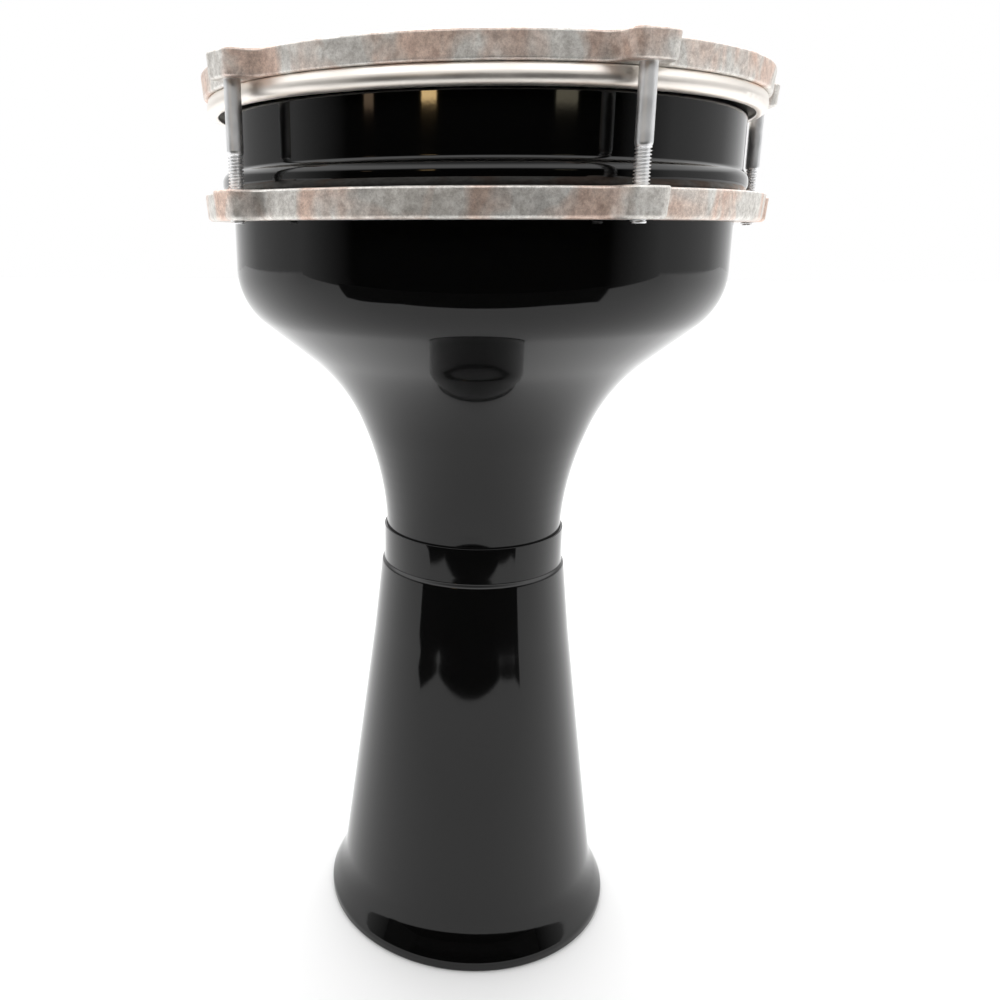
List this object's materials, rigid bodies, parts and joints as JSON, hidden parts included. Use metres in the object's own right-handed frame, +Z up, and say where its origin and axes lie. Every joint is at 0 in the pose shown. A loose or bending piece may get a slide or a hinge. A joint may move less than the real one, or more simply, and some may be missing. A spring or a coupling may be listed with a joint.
{
  "type": "goblet drum",
  "caption": "Goblet hand drum with a black spun metal shell, a flared foot and a film head tuned by rods between cast lug rings.",
  "frame": {"origin": "centre of the foot's mouth, on the surface that the drum stands on", "axes": "+Z up the drum's axis towards the head, +X through the first tuning lug"},
  "size_m": [0.2359, 0.236, 0.381],
  "materials": {
    "black_gloss_enamel": "gloss black baked enamel over spun sheet aluminium, fine orange-peel",
    "cast_aluminium": "tumbled casting, satin and slightly mottled, brighter on the edges",
    "bright_aluminium": "rolled and bright, faint lengthwise drawing marks",
    "amber_resin": "cast casting resin, inside the hoop",
    "white_film": "smooth milky polyester film",
    "zinc_plated_steel": "bright zinc plate",
    "washer_steel": "plain steel"
  },
  "bodies": {
    "shell": {"bowl": "black_gloss_enamel", "stem": "black_gloss_enamel", "lower_ring": "cast_aluminium", "drumhead": "white_film"},
    "head_clamp": {"upper_ring": "cast_aluminium", "flesh_hoop": "bright_aluminium", "hoop_resin": "amber_resin", "rod_washer_1": "washer_steel", "rod_washer_2": "washer_steel", "rod_washer_3": "washer_steel", "rod_washer_4": "washer_steel", "rod_washer_5": "washer_steel"},
    "rod_1": {"tension_rod_1": "zinc_plated_steel"},
    "rod_2": {"tension_rod_2": "zinc_plated_steel"},
    "rod_3": {"tension_rod_3": "zinc_plated_steel"},
    "rod_4": {"tension_rod_4": "zinc_plated_steel"},
    "rod_5": {"tension_rod_5": "zinc_plated_steel"}
  },
  "joints": [
    {"name": "head_draw", "type": "slide", "parent": "shell", "child": "head_clamp", "axis": [0, 0, -1], "range_m": [-0.00106, 0.00159]},
    {"name": "rod_1_turn", "type": "hinge", "parent": "head_clamp", "child": "rod_1", "pos_m": [0.1161, 0, 0.374], "axis": [0, 0, -1], "range_deg": [-360, 540]},
    {"name": "rod_2_turn", "type": "hinge", "parent": "head_clamp", "child": "rod_2", "pos_m": [0.03588, 0.11042, 0.374], "axis": [0, 0, -1], "range_deg": [-360, 540]},
    {"name": "rod_3_turn", "type": "hinge", "parent": "head_clamp", "child": "rod_3", "pos_m": [-0.09393, 0.06824, 0.374], "axis": [0, 0, -1], "range_deg": [-360, 540]},
    {"name": "rod_4_turn", "type": "hinge", "parent": "head_clamp", "child": "rod_4", "pos_m": [-0.09393, -0.06824, 0.374], "axis": [0, 0, -1], "range_deg": [-360, 540]},
    {"name": "rod_5_turn", "type": "hinge", "parent": "head_clamp", "child": "rod_5", "pos_m": [0.03588, -0.11042, 0.374], "axis": [0, 0, -1], "range_deg": [-360, 540]}
  ],
  "couplings": [
    {"joint": "head_draw", "follows": "rod_1_turn", "m_per_rad": 0.00016844},
    {"joint": "rod_2_turn", "follows": "rod_1_turn", "ratio": 1},
    {"joint": "rod_3_turn", "follows": "rod_1_turn", "ratio": 1},
    {"joint": "rod_4_turn", "follows": "rod_1_turn", "ratio": 1},
    {"joint": "rod_5_turn", "follows": "rod_1_turn", "ratio": 1}
  ]
}
